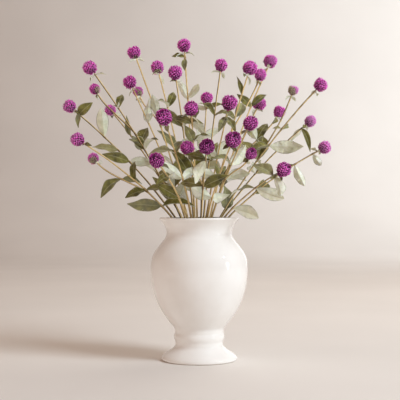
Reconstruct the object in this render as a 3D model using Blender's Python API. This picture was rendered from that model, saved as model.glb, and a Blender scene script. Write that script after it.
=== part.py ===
"""Dried globe amaranth: a bouquet of leafy, forked stems with magenta heads, standing in a glazed vase.

The frame has +Z up and its origin in the middle of the vase's flat underside. +X is to the right and
+Y away from the viewer. Tables are in millimetres and degrees, and MM turns them to metres.
"""
import math
import random

import bmesh
import bpy
import numpy as np
from mathutils import Vector
from mathutils.bvhtree import BVHTree

MM = 0.001
GAP = 0.3                    # clearance between two neighbouring solids
UP = np.array((0.0, 0.0, 1.0))

# Vase, turned round Z: radii and heights of the places where its outline turns
VASE_SIDES = 36
SMOOTH_ANGLE = 35.0          # edges sharper than this stay sharp in the vase's shading
FOOT_R = 55.4
FOOT_EDGE_Z = 3.0            # height of the rolled edge's widest line
STEM_R, STEM_Z = 35.0, 23.0  # top of the flared foot
BEAD_Z0, BEAD_Z1, BEAD_OUT = 28.0, 41.5, 2.2
WAIST_R, WAIST_Z = 36.0, 42.5
BELLY_R, BELLY_Z = 70.8, 131.0
BELLY_DROP = 106.6           # scale of the belly's fall to the waist, with the power below
BELLY_POWER = 0.7
SHOULDER_POWER = 1.6         # keeps the shoulder full before it turns into the neck
NECK_R, NECK_Z = 47.8, 186.0
LIP_R, LIP_Z = 57.6, 205.5
TOP_Z = 209.0                # highest line of the rolled lip
WALL = 4.5
INNER_FLOOR_Z = 54.0
INNER_FLOOR_R = 34.0
EDGE_ROLL = 1.6              # how far the flat underside and the lip's top lie inside the widest line
OUTER_HEIGHTS = (FOOT_EDGE_Z, 7.5, 12, 17, STEM_Z, BEAD_Z0, 31.5, 38, WAIST_Z, 60, 80, 105,
                 BELLY_Z, 150, 163, 174, NECK_Z, 197, LIP_Z)
INNER_HEIGHTS = (LIP_Z - 1.0, 197, NECK_Z, 172, 155, BELLY_Z, 98, 70)

# Stems: how they spread between the vase's floor, its mouth and the heads
MOUTH_SLOT_R = 44.0          # furthest a stem stands from the axis at the mouth
SLOT_LEAN, SLOT_POWER = 1.3, 0.65  # lean of a head that gives the furthest slot, and how slots grow
SLOT_DEPTH = 40.0            # depth below the mouth of the point that the heads' leans are taken from
FLOOR_SHARE = 0.68           # foot's distance from the axis, as a share of that at the mouth
LEAST_BOW = 1.6              # least power by which that distance grows with the height in the vase
MOUTH_LEAN, END_LEAN = 0.8, 1.15   # a stem's lean at the mouth and at its head, as shares of its chord's
FORK_ALONG, FORK_UP = 0.3, 0.35    # how a side branch leaves along its stem, and turns up at its end
FORK_SWELL = 0.45            # swelling of a stem at a fork, as a share of its radius
STEM_BASE_R, STEM_TIP_R = 1.45, 1.0
STEM_SIDES = 5
STEM_OFF = np.array((0.31, 0.94, 0.12))  # no stem runs along this direction, which turns its corners
STEPS_IN_VASE, STEPS_ABOVE, STEPS_FORK = 3, 7, 4

# Heads: number, middle x, y, z and diameter
HEADS = {
    1: (-22, -10, 459, 21.0), 2: (-100, 70, 460, 21.0), 3: (-160, 0, 428, 22.0),
    4: (-65, 90, 440, 22.5), 5: (-157, 40, 401, 17.5), 6: (-104, 30, 410, 21.0),
    7: (-97, 130, 406, 18.0), 8: (-34, -60, 413, 21.5), 9: (-188, -15, 370, 20.0),
    10: (-140, 115, 376, 18.5), 11: (-173, -45, 320, 21.0), 12: (-158, 25, 296, 18.0),
    13: (34, 95, 444, 21.5), 14: (73, -30, 424, 22.5), 15: (110, 80, 448, 22.0),
    16: (91, 20, 420, 18.0), 17: (179, 10, 404, 21.0), 18: (144, 70, 402, 17.0),
    19: (12, 120, 395, 21.0), 20: (42, -75, 369, 23.0), 21: (-11, -90, 360, 21.0),
    22: (-47, -135, 344, 23.5), 23: (95, 115, 386, 22.0), 24: (128, 140, 375, 20.0),
    25: (173, 95, 357, 19.5), 26: (71, -85, 340, 22.0), 27: (186, 20, 312, 20.5),
    28: (45, -140, 314, 23.0), 29: (-16, -105, 305, 20.0), 30: (10, -150, 304, 22.0),
    31: (-57, -125, 287, 22.0), 32: (70, -115, 296, 17.0), 33: (117, -80, 276, 22.0),
}
# A head on a side branch: the head whose stem it forks from, and the fork's share of that stem's length
FORKS = {5: (3, 0.56), 7: (2, 0.56), 12: (11, 0.33), 16: (14, 0.56),
         18: (17, 0.44), 24: (23, 0.44), 29: (30, 0.44), 32: (26, 0.44)}

# Leaves: head's number, share of its stem above the mouth, direction of the leaf in plan (0 right,
# 90 away, 180 left, 270 near), lift of its tip, length, width, which side looks to the viewer (1 the
# upper, -1 the lower, 0 as it grew, with the upper side to the stem's tip), and 1 for an opposite leaf
LEAVES = (
    (9, 0.73, 255, 64, 46, 18, -1, 0), (9, 0.96, 330, 35, 28, 16, 1, 0), (9, 0.97, 284, -62, 24, 8, 1, 0),
    (9, 0.60, 198, 5, 40, 14, 1, 0), (9, 0.49, 202, 18, 42, 16, 1, 1), (10, 0.76, 245, 60, 32, 9, 1, 0),
    (12, 0.50, 200, -36, 42, 17, 1, 1), (11, 0.33, 200, -20, 34, 14, 1, 1),
    (11, 0.13, 190, 4, 52, 19, 1, 1), (11, 0.45, 105, 62, 36, 12, 1, 0), (6, 0.72, 95, 62, 44, 13, -1, 1),
    (2, 0.61, 240, 56, 42, 13, -1, 1), (8, 0.66, 150, 38, 50, 15, 1, 1), (10, 0.62, 62, 58, 42, 19, 1, 1),
    (1, 0.72, 136, 52, 42, 12, -1, 1), (10, 0.12, 210, 50, 50, 19, 1, 0),
    (3, 0.08, 315, 56, 44, 18, -1, 0), (6, 0.22, 65, 58, 62, 22, 1, 1), (21, 0.92, 50, 54, 32, 13, 1, 1),
    (19, 0.95, 330, 15, 28, 9, 1, 1), (20, 0.94, 232, -52, 28, 11, 1, 0),
    (20, 0.94, 308, -55, 28, 11, 1, 0), (14, 0.70, 40, 45, 32, 15, 1, 1),
    (20, 0.56, 215, 46, 54, 20, -1, 1), (21, 0.74, 215, 48, 30, 14, 1, 1),
    (30, 0.88, 200, 10, 30, 12, 1, 0), (30, 0.86, 225, -55, 42, 17, -1, 0),
    (13, 0.36, 50, 55, 36, 15, 1, 1), (26, 0.59, 38, 47, 42, 18, -1, 1), (24, 0.55, 45, 50, 38, 19, 1, 1),
    (17, 0.42, 40, 54, 50, 21, 1, 1), (17, 0.54, 345, -3, 52, 20, -1, 1), (17, 0.67, 30, 22, 22, 7, 1, 1),
    (33, 0.93, 205, 26, 36, 16, 1, 0), (27, 0.75, 310, -56, 38, 14, -1, 1),
    (25, 0.95, 308, -55, 40, 10, 1, 1), (27, 0.94, 315, -50, 26, 11, -1, 0),
    (33, 0.62, 335, -22, 50, 19, -1, 1), (33, 0.18, 335, -16, 46, 19, -1, 0),
    (33, 0.93, 312, -54, 38, 15, -1, 0), (25, 0.07, 255, 64, 38, 22, 1, 0),
    (28, 0.25, 205, 24, 38, 19, -1, 1), (23, 0.23, 66, 58, 40, 18, 1, 1),
    (26, 0.42, 340, 20, 40, 16, -1, 0), (31, 0.35, 200, 30, 40, 17, 1, 1),
    (22, 0.40, 190, 40, 46, 18, -1, 1), (22, 0.68, 20, 35, 40, 15, 1, 1),
    (28, 0.52, 15, 30, 44, 17, 1, 1), (4, 0.45, 170, 45, 44, 17, 1, 1), (4, 0.75, 60, 50, 36, 13, 1, 1),
    (13, 0.68, 150, 45, 36, 13, 1, 1), (15, 0.42, 100, 40, 44, 17, 1, 1),
    (15, 0.72, 20, 40, 36, 13, 1, 1), (19, 0.40, 110, 30, 50, 19, 0, 1),
    (19, 0.70, 200, 40, 36, 15, 0, 1), (3, 0.45, 130, 30, 46, 18, 0, 1), (3, 0.75, 80, 40, 32, 12, 1, 1),
    (2, 0.30, 160, 30, 48, 18, 0, 1), (10, 0.38, 150, 20, 48, 18, 0, 1),
    (23, 0.60, 120, 30, 44, 17, 0, 1), (25, 0.42, 75, 25, 50, 19, 0, 1), (27, 0.30, 60, 20, 48, 18, 0, 0),
    (31, 0.75, 240, -20, 30, 13, 1, 1), (30, 0.45, 340, 20, 40, 17, 1, 1),
    (15, 0.18, 60, 25, 46, 18, 0, 0), (19, 0.15, 130, 20, 44, 18, 0, 0), (14, 0.86, 125, 66, 30, 9, 1, 0),
    (8, 0.30, 200, 55, 50, 19, 1, 1), (1, 0.97, 188, 8, 20, 9, 1, 0), (1, 0.96, 262, -70, 18, 9, 1, 0),
)
# A leaf's form: thickness at the midrib, and its stations as shares of its length and of its width
LEAF_FORM = (1.3, (0.0, 0.35, 0.68), (0.16, 1.0, 0.84))
BRACT_FORM = (1.0, (0.0, 0.45), (0.30, 1.0))
LEAF_FOLD = 0.34             # rise of each half above the midrib, as a share of its width
LEAF_ARCH = 0.10             # height of the midrib's arch, as a share of the leaf's length
LEAF_ROLL = 22.0             # most that a leaf is twisted about its midrib
VIEWER = np.array((0.0, -1.0, 0.2))
LOOK_UP = 0.3                # share of the stem's direction in that of a leaf that looks to the viewer
FREE_SHARE, FREE_WIDTH = 0.25, 0.6  # where a leaf is clear of its own stem, and how wide it is there
LEAF_CLEAR = 0.5             # margin kept round a leaf that is being placed
LIP_CLEAR = 2.0              # height that the leaves keep above the lip, and twice that beside it
# Turns and lifts tried in order, until a leaf lies clear of all that is already there
BENDS = [(turn, lift) for lift in (0, 14, -14, 28, -28)
         for turn in (0, 15, -15, 30, -30, 48, -48, 70, -70)]
SHRINKS = (1.0, 0.82, 0.66)

# Opposite leaves: how far they stray from the far side, and their size against the first leaf
MATE_TURN, MATE_LIFT, MATE_SIZE = 20.0, 15.0, (0.75, 1.0)
LOWEST_LIFT = -40.0

# Small leafy bracts, a pair below each head
BRACT_LENGTH, BRACT_WIDTH, BRACT_LIFT = (10.0, 17.0), (5.0, 8.0), (-60.0, 10.0)
BRACT_DROP = 2.2             # distance of the bracts below the stem's end

# Relief of a head: rows and columns of pointed scales
SCALE_ROWS, SCALE_COLUMNS = 7, 12
SCALE_DEPTH = 0.13           # height of a scale's point above the valleys, as a share of the radius
SCALE_HOOK = 0.13            # how far each point leans to the top of the head
HEAD_STRETCH = 1.04
HEAD_OFF = np.array((0.36, 0.91, 0.20))  # no head points along this direction, which turns its columns

FLAT_ANGLE = 2.0             # faces of a fused stem that meet flatter than this become one
SEED = 33


def clear_scene():
    """Removes whatever the file opened with."""
    for item in list(bpy.data.objects):
        bpy.data.objects.remove(item)


def make_material(name, colour, roughness, coat=0.0):
    """Principled material with one linear colour."""
    material = bpy.data.materials.new(name)
    material.use_nodes = True
    shader = material.node_tree.nodes["Principled BSDF"]
    shader.inputs["Base Color"].default_value = (*colour, 1.0)
    shader.inputs["Roughness"].default_value = roughness
    shader.inputs["Metallic"].default_value = 0.0
    shader.inputs["Coat Weight"].default_value = coat
    material.diffuse_color = (*colour, 1.0)
    return material


def make_object(name, points, faces, material, collection=None):
    """Object from points in millimetres and a list of faces."""
    mesh = bpy.data.meshes.new(name)
    mesh.from_pydata([tuple(point * MM) for point in points], [], [tuple(face) for face in faces])
    mesh.materials.append(material)
    item = bpy.data.objects.new(name, mesh)
    (collection or bpy.context.scene.collection).objects.link(item)
    return item


def unit(vector):
    return vector / np.linalg.norm(vector)


def ease(share):
    """Smooth rise from 0 to 1, level at both ends."""
    return (1.0 - math.cos(math.pi * share)) / 2.0


def outer_radius(z):
    """Outer radius of the vase at a height."""
    if z <= STEM_Z:
        return FOOT_R + (STEM_R - FOOT_R) * ease((z - FOOT_EDGE_Z) / (STEM_Z - FOOT_EDGE_Z))
    if z <= BEAD_Z0:
        return STEM_R
    if z <= BEAD_Z1:
        return STEM_R + BEAD_OUT * math.sin(math.pi * (z - BEAD_Z0) / (BEAD_Z1 - BEAD_Z0))
    if z <= BELLY_Z:
        fall = (BELLY_Z - z) / BELLY_DROP
        return max(WAIST_R, BELLY_R * (1.0 - fall * fall) ** BELLY_POWER)
    if z <= NECK_Z:
        share = (z - BELLY_Z) / (NECK_Z - BELLY_Z)
        return BELLY_R + (NECK_R - BELLY_R) * ease(share ** SHOULDER_POWER)
    share = (z - NECK_Z) / (LIP_Z - NECK_Z)
    return NECK_R + (LIP_R - NECK_R) * share * share


def vase_outline():
    """Closed half outline of the vase as (radius, height), up the outside and down the inside."""
    outline = [(0.0, 0.0), (FOOT_R - EDGE_ROLL, 0.0)]
    outline += [(outer_radius(z), z) for z in OUTER_HEIGHTS]
    outline += [(LIP_R - EDGE_ROLL, TOP_Z), (LIP_R - WALL + GAP, TOP_Z)]
    outline += [(outer_radius(z) - WALL, z) for z in INNER_HEIGHTS]
    outline += [(INNER_FLOOR_R, INNER_FLOOR_Z), (0.0, INNER_FLOOR_Z)]
    return outline


def build_vase(material):
    """One turned wall with its pedestal foot, spun from its half outline."""
    shape = bmesh.new()
    points = [shape.verts.new((radius * MM, 0.0, z * MM)) for radius, z in vase_outline()]
    edges = [shape.edges.new(pair) for pair in zip(points, points[1:])]
    bmesh.ops.spin(shape, geom=points + edges, cent=(0, 0, 0), axis=(0, 0, 1),
                   angle=math.tau, steps=VASE_SIDES, use_merge=True)
    bmesh.ops.remove_doubles(shape, verts=shape.verts, dist=0.01 * MM)
    bmesh.ops.recalc_face_normals(shape, faces=shape.faces)
    mesh = bpy.data.meshes.new("vase")
    shape.to_mesh(mesh)
    shape.free()
    mesh.shade_smooth()
    mesh.set_sharp_from_angle(angle=math.radians(SMOOTH_ANGLE))
    mesh.materials.append(material)
    item = bpy.data.objects.new("vase", mesh)
    bpy.context.scene.collection.objects.link(item)


def curve(start, start_way, end, end_way, count):
    """Cubic curve between two points that leaves and arrives along the given directions."""
    reach = np.linalg.norm(end - start) / 3.0
    share = np.linspace(0.0, 1.0, count)[:, None]
    rest = 1.0 - share
    return (rest ** 3 * start + 3 * rest ** 2 * share * (start + start_way * reach)
            + 3 * rest * share ** 2 * (end - end_way * reach) + share ** 3 * end)


def leaning(outward, angle):
    """Direction that leans from upright by an angle, towards a horizontal direction."""
    return outward * math.sin(angle) + UP * math.cos(angle)


def stem_end(middle, way, diameter):
    """Top of the stem, just under the hollow in the bottom of its head."""
    return middle - way * (diameter / 2.0 * (1.0 - SCALE_DEPTH) * HEAD_STRETCH + GAP)


def stem_path(number):
    """Axis of a main stem: the part in the vase, the part above the mouth, and the end's direction.

    The stem stays in the upright plane through its head and the vase's axis. Its distance from the
    axis in the vase grows by a power of its height, so no two stems meet there.
    """
    x, y, z, diameter = HEADS[number]
    middle = np.array((x, y, z), float)
    spread = math.hypot(x, y)
    outward = np.array((x, y, 0.0)) / spread
    rise = z - TOP_Z
    slot = MOUTH_SLOT_R * min(1.0, spread / (rise + SLOT_DEPTH) / SLOT_LEAN) ** SLOT_POWER
    lean = math.atan2(spread - slot, rise)
    foot = slot * FLOOR_SHARE
    mouth = outward * slot + UP * TOP_Z
    end_way = leaning(outward, lean * END_LEAN)
    above = curve(mouth, leaning(outward, lean * MOUTH_LEAN), stem_end(middle, end_way, diameter),
                  end_way, STEPS_ABOVE + 1)
    floor_z = INNER_FLOOR_Z + GAP
    share = np.linspace(0.0, 1.0, STEPS_IN_VASE + 1)[:-1, None]
    power = max(LEAST_BOW, math.tan(lean * MOUTH_LEAN) * (TOP_Z - floor_z) / (slot - foot))
    radius = foot + (slot - foot) * share ** power
    inside = outward * radius + UP * (floor_z + share * (TOP_Z - floor_z))
    return inside, above, end_way


def fork_path(number, above):
    """Axis of a side branch, from a joint of the main stem to its own head."""
    place = round(FORKS[number][1] * STEPS_ABOVE)
    x, y, z, diameter = HEADS[number]
    middle = np.array((x, y, z), float)
    chord = unit(middle - above[place])
    along = unit(above[place + 1] - above[place - 1])
    end_way = unit(chord + UP * FORK_UP)
    path = curve(above[place], unit(chord + along * FORK_ALONG), stem_end(middle, end_way, diameter),
                 end_way, STEPS_FORK + 1)
    return path, end_way


def tube(path, radii, sides, first_way):
    """Closed tube of a few sides round a path, with flat ends, the first square to a direction."""
    along = np.gradient(path, axis=0)
    along /= np.linalg.norm(along, axis=1)[:, None]
    along[0] = first_way
    side = np.cross(along, STEM_OFF)
    side /= np.linalg.norm(side, axis=1)[:, None]
    other = np.cross(along, side)
    turn = np.arange(sides) * math.tau / sides
    rings = (path[:, None] + side[:, None] * (np.cos(turn) * radii[:, None])[..., None]
             + other[:, None] * (np.sin(turn) * radii[:, None])[..., None])
    count = len(path)
    points = rings.reshape(-1, 3)
    faces = []
    for ring in range(count - 1):
        for n in range(sides):
            a, b = ring * sides + n, ring * sides + (n + 1) % sides
            faces += [(a, b, b + sides), (a, b + sides, a + sides)]
    top = (count - 1) * sides
    for n in range(1, sides - 1):
        faces += [(0, n + 1, n), (top, top + n, top + n + 1)]
    return points, faces


def leaf_frame(look, turn, lift, roll):
    """Directions along a leaf, across it, and out of its upper face, which is turned to a direction."""
    turn, lift = math.radians(turn), math.radians(lift)
    along = np.array((math.cos(turn) * math.cos(lift), math.sin(turn) * math.cos(lift), math.sin(lift)))
    across = unit(np.cross(look, along))
    upper = np.cross(along, across)
    cos, sin = math.cos(math.radians(roll)), math.sin(math.radians(roll))
    return along, across * cos + upper * sin, upper * cos - across * sin


def leaf(root, look, turn, lift, roll, length, width, form):
    """Arched leaf, folded along its midrib: stations of four points, and one point at the tip.

    Each face is split along the same diagonals above and below, so its two sides never cross.
    """
    along, across, upper = leaf_frame(look, turn, lift, roll)
    thick, shares, widths = form
    points = []
    for share, part in zip(shares, widths):
        middle = root + along * length * share + upper * LEAF_ARCH * length * 4 * share * (1 - share)
        half = width / 2.0 * part
        edge = upper * half * LEAF_FOLD
        skin = upper * thick / 2.0
        points += [middle + skin, middle - across * half + edge,
                   middle - skin, middle + across * half + edge]
    points.append(root + along * length)
    faces = [(0, 3, 1), (1, 3, 2)]
    last = (len(shares) - 1) * 4
    for base in range(0, last, 4):
        for n in range(4):
            a, b = base + n, base + (n + 1) % 4
            if n % 2 == 0:
                faces += [(a, b, a + 4), (b, b + 4, a + 4)]
            else:
                faces += [(a, b, b + 4), (a, b + 4, a + 4)]
    tip = last + 4
    faces += [(last + n, last + (n + 1) % 4, tip) for n in range(4)]
    return np.array(points), faces


def head(middle, way, diameter):
    """Globe covered with pointed scales in crossing rows, each leaning to the top of the head."""
    radius = diameter / 2.0
    side = unit(np.cross(way, HEAD_OFF))
    other = np.cross(way, side)
    down = 1.0 - SCALE_DEPTH
    points = [middle - way * radius * down * HEAD_STRETCH]
    for row in range(1, SCALE_ROWS + 1):
        angle = math.pi * row / (SCALE_ROWS + 1)
        for column in range(SCALE_COLUMNS):
            turn = math.tau * column / SCALE_COLUMNS
            point = (row + column) % 2 == 0
            size = radius * (1.0 if point else down)
            hook = radius * SCALE_HOOK * math.sin(angle) if point else 0.0
            out = side * math.cos(turn) + other * math.sin(turn)
            points.append(middle + out * size * math.sin(angle)
                          + way * (hook - size * math.cos(angle) * HEAD_STRETCH))
    points.append(middle + way * radius * HEAD_STRETCH)
    faces = []
    top = len(points) - 1
    for column in range(SCALE_COLUMNS):
        after = (column + 1) % SCALE_COLUMNS
        faces.append((0, 1 + after, 1 + column))
        faces.append((top, top - SCALE_COLUMNS + column, top - SCALE_COLUMNS + after))
        for row in range(SCALE_ROWS - 1):
            a, b = 1 + row * SCALE_COLUMNS + column, 1 + row * SCALE_COLUMNS + after
            c, d = a + SCALE_COLUMNS, b + SCALE_COLUMNS
            faces += [(a, b, c), (b, d, c)] if (row + column) % 2 else [(a, b, d), (a, d, c)]
    return np.array(points), faces


def tree(shape):
    """Search tree of a closed shape, for finding what touches it."""
    points, faces = shape
    return BVHTree.FromPolygons([Vector(point) for point in points], faces)


class Bouquet:
    """The stems with what grows on each, and all that is already placed."""

    def __init__(self):
        self.draw = random.Random(SEED)
        self.axes = {}           # by head: the path of its stem above the mouth, and the end's direction
        self.parts = {}          # by the head of the main stem: the closed shapes that are fused to it
        self.heads = {}
        self.taken = []          # search trees, each with the main stem that it belongs to

    def add(self, owner, shape):
        self.parts.setdefault(owner, []).append(shape)
        self.taken.append((owner, tree(shape)))

    def root(self, number, share):
        """Point on the stem of a head, at a share of its path above the mouth, and the way it runs."""
        path = self.axes[number][0]
        place = share * (len(path) - 1)
        low = min(int(place), len(path) - 2)
        step = path[low + 1] - path[low]
        return path[low] + step * (place - low), unit(step)

    def is_clear(self, owner, grown, free):
        """True if a leaf touches nothing, its own stem and that stem's leaves only past its root."""
        body, tip = tree(grown), tree(free)
        return not any((tip if other == owner else body).overlap(placed) for other, placed in self.taken)

    def place(self, number, share, turn, lift, length, width, side, form):
        """Puts one leaf on a stem, bent clear of the rest, and shortened where bending isn't enough."""
        owner = FORKS[number][0] if number in FORKS else number
        root, way = self.root(number, share)
        look = unit(VIEWER * side + way * LOOK_UP) if side else way
        roll = self.draw.uniform(-LEAF_ROLL, LEAF_ROLL)
        thick, shares, widths = form
        grown_form = (thick + 2 * LEAF_CLEAR, shares, widths)
        free_form = (thick, (FREE_SHARE,) + shares[1:], (FREE_WIDTH,) + widths[1:])
        for shrink in SHRINKS:
            long, wide = length * shrink, width * shrink
            for more_turn, more_lift in BENDS:
                way_out = (turn + more_turn, lift + more_lift, roll)
                grown = leaf(root, look, *way_out, long + LEAF_CLEAR, wide + 2 * LEAF_CLEAR, grown_form)
                free = leaf(root, look, *way_out, long, wide, free_form)
                if not over_lip(grown[0][4:]) and self.is_clear(owner, grown, free):
                    self.add(owner, leaf(root, look, *way_out, long, wide, form))
                    return


def over_lip(points):
    """True if any part of a leaf dips to the lip while it is over the vase or just beside it."""
    near = np.hypot(points[:, 0], points[:, 1]).min() < LIP_R + 2 * LIP_CLEAR
    return near and points[:, 2].min() < TOP_Z + LIP_CLEAR


def grow():
    """Places every stem and head, then the bracts, the leaves of the table, and their opposites."""
    bouquet = Bouquet()
    for number in HEADS:
        if number not in FORKS:
            grow_stem(bouquet, number)
    for number, (owner, _) in FORKS.items():
        path, end_way = fork_path(number, bouquet.axes[owner][0])
        bouquet.axes[number] = (path, end_way)
        radii = np.full(len(path), STEM_TIP_R)
        bouquet.add(owner, tube(path, radii, STEM_SIDES, unit(path[1] - path[0])))
    for number, (x, y, z, diameter) in HEADS.items():
        shape = head(np.array((x, y, z), float), bouquet.axes[number][1], diameter)
        bouquet.heads[number] = shape
        bouquet.taken.append(("head", tree(shape)))
    for number in HEADS:
        grow_bracts(bouquet, number)
    for number, share, turn, lift, length, width, side, _ in LEAVES:
        bouquet.place(number, share, turn, lift, length, width, side, LEAF_FORM)
    for number, share, turn, lift, length, width, side, paired in LEAVES:
        if paired:
            turn += 180 + bouquet.draw.uniform(-MATE_TURN, MATE_TURN)
            lift = max(LOWEST_LIFT, lift / 2 + bouquet.draw.uniform(-MATE_LIFT, MATE_LIFT))
            size = bouquet.draw.uniform(*MATE_SIZE)
            side = bouquet.draw.choice((0, side, -1, 1))
            bouquet.place(number, share, turn, lift, length * size, width * size, side, LEAF_FORM)
    return bouquet


def grow_stem(bouquet, number):
    """A main stem, swollen where a side branch leaves it."""
    inside, above, end_way = stem_path(number)
    bouquet.axes[number] = (above, end_way)
    path = np.vstack((inside, above))
    radii = np.linspace(STEM_BASE_R, STEM_TIP_R, len(path))
    for owner, share in FORKS.values():
        if owner == number:
            radii[len(inside) + round(share * STEPS_ABOVE)] *= 1.0 + FORK_SWELL
    bouquet.add(number, tube(path, radii, STEM_SIDES, UP))


def grow_bracts(bouquet, number):
    """A pair of small leafy bracts on opposite sides of the stem, just below its head."""
    length = np.linalg.norm(np.diff(bouquet.axes[number][0], axis=0), axis=1).sum()
    share = 1.0 - BRACT_DROP / length
    turn = bouquet.draw.uniform(0, 360)
    for opposite in (0, 180):
        lift = bouquet.draw.uniform(*BRACT_LIFT)
        length, width = bouquet.draw.uniform(*BRACT_LENGTH), bouquet.draw.uniform(*BRACT_WIDTH)
        bouquet.place(number, share, turn + opposite, lift, length, width, 0, BRACT_FORM)


def fuse(name, shapes, material):
    """One closed stem with its branches and leaves, joined by a Boolean union on a collection."""
    stem = make_object(name, *shapes[0], material)
    group = bpy.data.collections.new(name + "_parts")
    bpy.context.scene.collection.children.link(group)
    for n, shape in enumerate(shapes[1:]):
        make_object(f"{name}_{n}", *shape, material, group)
    union = stem.modifiers.new("union", "BOOLEAN")
    union.operation = "UNION"
    union.operand_type = "COLLECTION"
    union.collection = group
    union.solver = "EXACT"
    graph = bpy.context.evaluated_depsgraph_get()
    joined = bpy.data.meshes.new_from_object(stem.evaluated_get(graph))
    stem.modifiers.clear()
    stem.data = joined
    for item in list(group.objects):
        bpy.data.objects.remove(item)
    bpy.data.collections.remove(group)
    shape = bmesh.new()
    shape.from_mesh(joined)
    bmesh.ops.dissolve_limit(shape, angle_limit=math.radians(FLAT_ANGLE),
                             verts=shape.verts, edges=shape.edges)
    bmesh.ops.triangulate(shape, faces=shape.faces)
    shape.to_mesh(joined)
    shape.free()


def main():
    clear_scene()
    glaze = make_material("white_glaze", (0.80, 0.76, 0.71), 0.15, 0.5)
    foliage = make_material("dried_leaf_and_stem", (0.24, 0.22, 0.10), 0.75)
    petals = make_material("magenta_bracts", (0.26, 0.03, 0.17), 0.6)
    build_vase(glaze)
    bouquet = grow()
    for number in sorted(bouquet.parts):
        fuse(f"leafy_stem_{number:02d}", bouquet.parts[number], foliage)
    for number, shape in bouquet.heads.items():
        make_object(f"flower_head_{number:02d}", *shape, petals)


main()
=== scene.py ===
"""Dried globe amaranth in a white vase: the finished surfaces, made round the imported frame.

Tables are in millimetres and degrees, as in the frame's own source, and MM turns them to metres. +X is
to the right, +Y away from the viewer and +Z up, with the origin in the middle of the vase's underside.
"""
import math
import random

import bpy
import numpy as np
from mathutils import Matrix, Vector


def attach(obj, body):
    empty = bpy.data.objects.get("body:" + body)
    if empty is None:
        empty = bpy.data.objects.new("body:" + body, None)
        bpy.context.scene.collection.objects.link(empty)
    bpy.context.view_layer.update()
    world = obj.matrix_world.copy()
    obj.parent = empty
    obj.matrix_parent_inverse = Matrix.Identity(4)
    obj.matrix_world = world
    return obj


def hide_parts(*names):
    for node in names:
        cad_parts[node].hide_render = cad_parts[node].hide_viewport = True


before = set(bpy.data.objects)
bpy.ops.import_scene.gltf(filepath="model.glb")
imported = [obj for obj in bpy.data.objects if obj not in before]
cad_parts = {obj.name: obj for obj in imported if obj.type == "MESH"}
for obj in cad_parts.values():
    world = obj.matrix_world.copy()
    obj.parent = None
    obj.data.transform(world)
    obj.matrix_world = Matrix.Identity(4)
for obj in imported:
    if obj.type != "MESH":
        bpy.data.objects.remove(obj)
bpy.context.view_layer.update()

# The vase: one hollow body of white earthenware, cast in a mould, with a flared foot, a short stem with
# one bead, a full belly and a rolled lip. It is dipped in a white glaze all over, but for the ring that
# it stands on, which is wiped bare before the firing.
MM = 0.001
UP = np.array((0.0, 0.0, 1.0))

VASE_SIDES = 144
FOOT_R = 55.4
FOOT_EDGE_Z = 3.0
STEM_R, STEM_Z = 35.0, 23.0
BEAD_Z0, BEAD_Z1, BEAD_OUT = 28.0, 41.5, 2.2
WAIST_R, WAIST_Z = 36.0, 42.5
BELLY_R, BELLY_Z = 70.8, 131.0
BELLY_DROP, BELLY_POWER = 106.6, 0.7
SHOULDER_POWER = 1.6
NECK_R, NECK_Z = 47.8, 186.0
LIP_R, LIP_Z = 57.6, 205.5
LIP_ROLL = 1.9               # radius of the lip's rolled edge
TOP_Z = 209.0
WALL = 4.5
INNER_FLOOR_Z = 54.0
INNER_FLOOR_R = 34.0
BARE_RING_R = (43.0, 52.4)   # the unglazed ring under the foot
RECESS = 2.2                 # depth of the glazed hollow inside that ring
CORNER_R = 1.8               # the outline is a mean over twice this height, which rounds its corners
WOBBLE = 0.25                # how far the mould's body is out of round
LIP_WOBBLE = 0.45            # how uneven the lip's top is


def ease(share):
    """Smooth rise from 0 to 1, level at both ends: half of one less the cosine of a half turn."""
    return (1 - np.cos(np.pi * np.clip(share, 0, 1))) / 2


def outer_radius(z):
    """Outer radius of the vase at heights z.

    The foot falls to the stem by an ease, and the bead is a half sine. The belly falls to the waist by a
    power of one less the square of the depth, the shoulder is an ease, and the lip opens by a square.
    """
    foot = FOOT_R + (STEM_R - FOOT_R) * ease((z - FOOT_EDGE_Z) / (STEM_Z - FOOT_EDGE_Z))
    bead = STEM_R + BEAD_OUT * np.sin(np.pi * np.clip((z - BEAD_Z0) / (BEAD_Z1 - BEAD_Z0), 0, 1))
    fall = np.clip((BELLY_Z - z) / BELLY_DROP, 0, 1)
    belly = np.maximum(WAIST_R, BELLY_R * (1 - fall ** 2) ** BELLY_POWER)
    share = np.clip((z - BELLY_Z) / (NECK_Z - BELLY_Z), 0, 1)
    shoulder = BELLY_R + (NECK_R - BELLY_R) * ease(share ** SHOULDER_POWER)
    lip = NECK_R + (LIP_R - NECK_R) * np.clip((z - NECK_Z) / (LIP_Z - NECK_Z), 0, 1) ** 2
    tops = [z <= STEM_Z, z <= BEAD_Z1, z <= BELLY_Z, z <= NECK_Z]
    return np.select(tops, [foot, bead, belly, shoulder], lip)


def arc(centre, radius, start, end, count):
    """Points of a round edge in the outline: the centre plus the radius at evenly turned angles."""
    turn = np.radians(np.linspace(start, end, count))
    return np.stack([centre[0] + radius * np.cos(turn), centre[1] + radius * np.sin(turn)], axis=1)


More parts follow.
